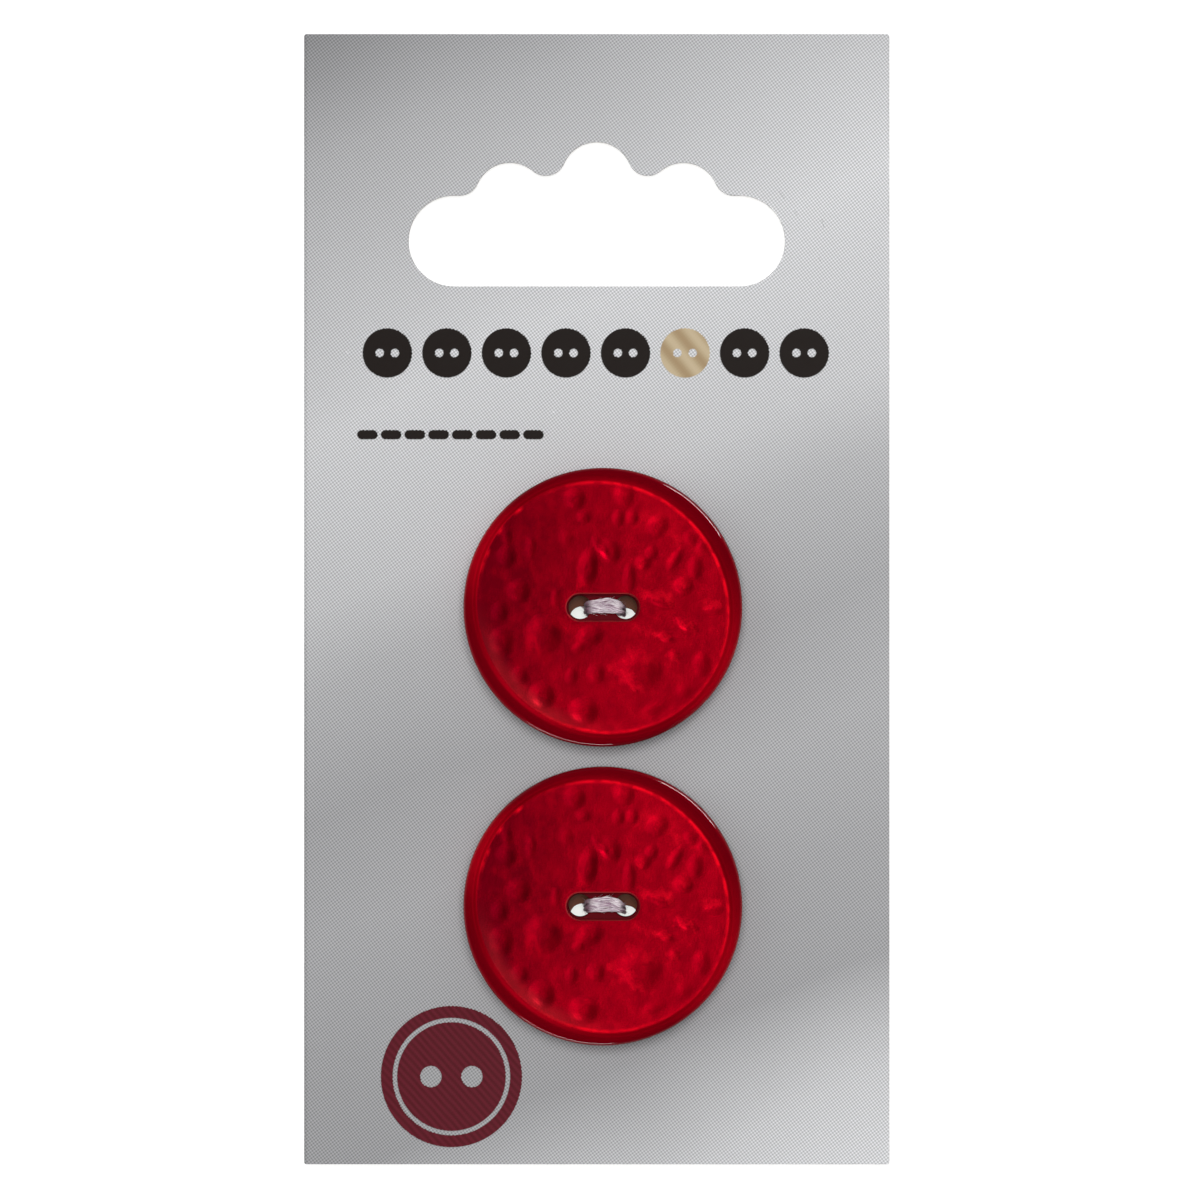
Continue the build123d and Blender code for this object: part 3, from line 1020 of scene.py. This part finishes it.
def wrapRoute(look, middle, buttonBack):  # corners of the passes, each with its bend radius
    overLevel = buttonBack + look["recessFloor"] + look["overBridge"]
    knotPlace = Vector((middle.x, middle.y + look["rowMiddle"], cardLow.z - look["knotLayer"]))
    halfWay = (look["passes"] - 1) / 2
    route = [(knotPlace, 0.0)]
    for number in range(look["passes"]):
        step = number - halfWay
        stagger = look["stagger"] * (-1) ** number
        legs = []
        for end, inward in (("left", 1), ("right", -1)):
            rowX, rowY = look[end + "Row"]
            lie, share = look[end + "Lie"]
            isKnotted = step * inward == -halfWay
            level = cardLow.z - look["knotLayer" if isKnotted else "underLayer"]
            punch = middle.x + rowX + stagger
            under = middle.y + rowY + step * look["pinchedPitch"]
            over = middle.y + lie + step * look["passPitch"] * share
            legs.append([
                (Vector((punch, under, level)), look["underBend"]),
                (Vector((punch, under, buttonBack)), look["throughBend"]),
                (Vector((punch + inward * look["overShort"], over, overLevel)), look["overBend"]),
            ])
        lie, share = look["topLie"]
        over = middle.y + lie + step * look["passPitch"] * share
        top = Vector((middle.x + look["topPlace"], over, overLevel + look["bridgeRise"]))
        route += legs[0] + [(top, look["topBend"])] + legs[1][::-1]
    route.append((knotPlace + Vector((look["closing"], 0, 0)), 0.0))
    return route


def knotRoute(look, middle):  # a small overhand knot with a tail each way
    wide, tall, deep = look["knotSize"]
    start, sweep = look["knotTurns"]
    level = cardLow.z - look["knotLayer"] - look["knotHang"]
    centre = Vector((middle.x, middle.y + look["rowMiddle"], level))
    loop = []
    for step in range(look["knotSteps"] + 1):
        turn = math.pi * (start + sweep * step / look["knotSteps"])
        loop.append(Vector((wide * (math.sin(turn) + 2 * math.sin(2 * turn)),
                            tall * (math.cos(turn) - 2 * math.cos(2 * turn)),
                            -deep * math.sin(3 * turn))) * mm)
    lead, tail = ([Vector([part * mm for part in place]) for place in look[end]]
                  for end in ("knotLead", "knotTail"))
    points = [centre + place for place in lead + loop + tail]
    bends = [0.0] + [look["knotBend"]] * (len(points) - 2) + [0.0]
    return list(zip(points, bends))


def threadTree(look, material):
    tree = bpy.data.node_groups.new("looseThread", "GeometryNodeTree")
    tree.interface.new_socket("Route", in_out="INPUT", socket_type="NodeSocketGeometry")
    for name, value in look["inputs"].items():
        kind = "NodeSocketInt" if isinstance(value, int) else "NodeSocketFloat"
        tree.interface.new_socket(name, in_out="INPUT", socket_type=kind)
    tree.interface.new_socket("Thread", in_out="OUTPUT", socket_type="NodeSocketGeometry")
    graph = Graph(tree)
    route = graph.node("NodeGroupInput", None, None, "Route")
    given = route.beside
    here = graph.vector("SCALE", graph.node("GeometryNodeInputPosition"), scale=1 / mm)

    def stray(layer, scale, reach):  # a soft random shift
        inputs = {"Vector": here, "W": layer, "Scale": scale, "Detail": 1.0}
        shift = graph.node("ShaderNodeTexNoise", {"noise_dimensions": "4D"}, inputs, "Color")
        return graph.vector("SCALE", graph.vector("SUBTRACT", shift, (0.5, 0.5, 0.5)), scale=reach)

    def chance(low, high):
        inputs = {2: low, 3: high, 8: given("Seed")}
        return graph.node("FunctionNodeRandomValue", {"data_type": "FLOAT"}, inputs, 1)

    def change(kind, shape, settings=None, **inputs):  # one step on the shape so far
        inputs = {name.replace("_", " "): value for name, value in inputs.items()}
        return graph.node("GeometryNode" + kind, settings, {0: shape, **inputs})

    def store(shape, name, kind, value):
        settings = {"data_type": kind, "domain": "POINT"}
        return change("StoreNamedAttribute", shape, settings, Name=name, Value=value)

    bend = graph.node("GeometryNodeInputRadius")
    bent = change("FilletCurve", route, {"mode": "POLY"}, Count=8, Radius=bend, Limit_Radius=True)
    even = change("ResampleCurve", bent, {"mode": "LENGTH"}, Length=given("Step"))
    loose = change("SetPosition", even, Offset=stray(given("Seed"), 0.9, given("Wander")))
    upright = change("SetCurveNormal", loose, {"mode": "MINIMUM_TWIST"})

    # filaments lie round the strand in a slow twist, and each strays a little by itself
    copies = change("DuplicateElements", upright, {"domain": "SPLINE"}, Amount=given("Filaments"))
    number = copies.beside("Duplicate Index")
    along = graph.node("GeometryNodeSplineParameter", None, None, "Length")
    phase = along * (2 * math.pi) / given("Twist Pitch") + number * (2 * math.pi) / given("Filaments")
    normal = graph.node("GeometryNodeInputNormal")
    tangent = graph.node("GeometryNodeInputTangent")
    side = graph.vector("CROSS_PRODUCT", tangent, normal)
    twistX = graph.vector("SCALE", normal, scale=phase.cosine() * given("Filament Offset"))
    twistY = graph.vector("SCALE", side, scale=phase.sine() * given("Filament Offset"))
    fray = stray(number * 3.7 + given("Seed"), 1.3, given("Fray"))
    shift = graph.vector("ADD", graph.vector("ADD", twistX, twistY), fray)
    plies = change("SetPosition", copies, Offset=shift)
    plies = store(plies, "along", "FLOAT", along)
    plies = store(plies, "strand", "FLOAT", number)
    plies = store(plies, "run", "FLOAT_VECTOR", tangent)
    ring = graph.node("GeometryNodeCurvePrimitiveCircle", None,
                      {"Resolution": 6, "Radius": given("Filament Radius")})
    around = graph.node("GeometryNodeSplineParameter", None, None, "Factor")
    ring = store(ring, "around", "FLOAT", around)
    swell = graph.cloud(here, 2.0) * 0.6 + 0.7
    body = change("CurveToMesh", plies, Profile_Curve=ring, Scale=swell, Fill_Caps=True)

    # short hairs leave the filaments at a slant
    roots = change("DistributePointsOnFaces", body, Density=given("Hair Density"), Seed=given("Seed"))
    hair = graph.node("GeometryNodeCurveQuadraticBezier", None, look["hairCurve"])
    hairRing = graph.node("GeometryNodeCurvePrimitiveCircle", None,
                          {"Resolution": 3, "Radius": given("Hair Radius") / given("Hair Size")})
    hair = change("CurveToMesh", hair, Profile_Curve=hairRing)
    run = graph.node("GeometryNodeInputNamedAttribute", {"data_type": "FLOAT_VECTOR"}, {"Name": "run"})
    laid = graph.node("FunctionNodeAlignRotationToVector", {"axis": "X", "pivot_axis": "Z"},
                      {"Rotation": roots.beside("Rotation"), "Vector": run})
    spun = graph.node("FunctionNodeAxisAngleToRotation", None,
                      {"Axis": (0, 0, 1), "Angle": chance(-0.5, 0.5)})
    turned = graph.node("FunctionNodeRotateRotation", {"rotation_space": "LOCAL"}, {0: laid, 1: spun})
    reach = chance(0.35, 1.0) * given("Hair Size")
    hairs = change("InstanceOnPoints", roots, Instance=hair, Rotation=turned, Scale=reach)
    whole = change("JoinGeometry", [body, hairs])
    whole = change("RealizeInstances", whole)
    x, y, z = apart(graph, graph.node("GeometryNodeInputPosition"))
    lowest = z.most(given("Lowest Level"))
    pressed = graph.node("ShaderNodeCombineXYZ", None, {0: x, 1: y, 2: lowest})
    whole = change("SetPosition", whole, Position=pressed)
    whole = change("SetShadeSmooth", whole, Shade_Smooth=True)
    whole = change("SetMaterial", whole, Material=material)
    graph.node("NodeGroupOutput", None, {0: whole})
    return tree


def tyingThread(look):
    material, graph = newMaterial("tyingThread")
    along, around, strand = (graph.node("ShaderNodeAttribute", {"attribute_name": name}, None, "Fac")
                             for name in ("along", "around", "strand"))
    turns = along * (2 * math.pi / look["fibrePitch"]) + around * (2 * math.pi * look["fibreTurns"])
    fibre = (turns + strand * 2.1).sine() * 0.5 + 0.5
    lengthwise = graph.node("ShaderNodeCombineXYZ", None,
                            {0: along / mm, 1: around * 3.0, 2: strand * 4.3})
    streak = graph.cloud(lengthwise, 0.8, 2.0).ease(0.38, 0.6)
    tint = (strand * 2.4).sine() * 0.5 + 0.5
    colour = graph.blend(streak, look["mauve"], look["white"])
    colour = graph.blend(fibre * 0.3, colour, look["fibreMauve"])
    colour = graph.blend(tint * 0.25, colour, look["strandWhite"])
    x, y, z = apart(graph, objectMillimetres(graph))
    # painted shade where the thread goes low into the recess and holes
    overCard = z - cardHigh.z / mm
    deep = (1 - overCard.ease(*look["shadeSpan"])) * (z - cardLow.z / mm).ease(-0.2, 0.2)
    endShade = (x - look["bridgeMiddle"]).size().ease(*look["bridgeEnds"]) * overCard.ease(0.0, 0.5)
    colour = graph.blend(deep.most(endShade) * 0.9, colour, look["shadeMauve"])
    return finishMaterial(material, graph, {
        "Base Color": colour, "Roughness": 0.6, "Normal": graph.bump(fibre, 0.5, 0.02 * mm),
        "Specular IOR Level": 0.3, "Sheen Weight": 0.2, "Sheen Roughness": 0.4,
    })


def makeThreads(look):
    tree = threadTree(look, tyingThread(look))
    for number, name in enumerate(("upper", "lower")):
        low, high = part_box(name + "_button")
        middle = (low + high) / 2
        curve = bpy.data.curves.new(name + "Route", "CURVE")
        curve.dimensions = "3D"
        for route in (wrapRoute(look, middle, low.z), knotRoute(look, middle)):
            spline = curve.splines.new("POLY")
            spline.points.add(len(route) - 1)
            for point, (place, bend) in zip(spline.points, route):
                point.co = (*place, 1.0)
                point.radius = bend
        guide = addObject(name + "Guide", curve)
        twist = guide.modifiers.new("looseThread", "NODES")
        twist.node_group = tree
        inputs = dict(look["inputs"])
        inputs["Seed"] += number * look["seedStep"]
        for item in tree.interface.items_tree:
            if item.in_out == "INPUT" and item.name in inputs:
                twist[item.identifier] = inputs[item.name]
        evaluated = guide.evaluated_get(bpy.context.evaluated_depsgraph_get())
        mesh = bpy.data.meshes.new_from_object(evaluated)
        guide.modifiers.remove(twist)
        bpy.data.objects.remove(guide)
        thread = addObject(name + "TwistedThread", mesh)
        print(thread.name, "has", len(mesh.polygons), "faces")
        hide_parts(name + "_thread")
        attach(thread, "root")


makeThreads(threadLook)
print("threads made")
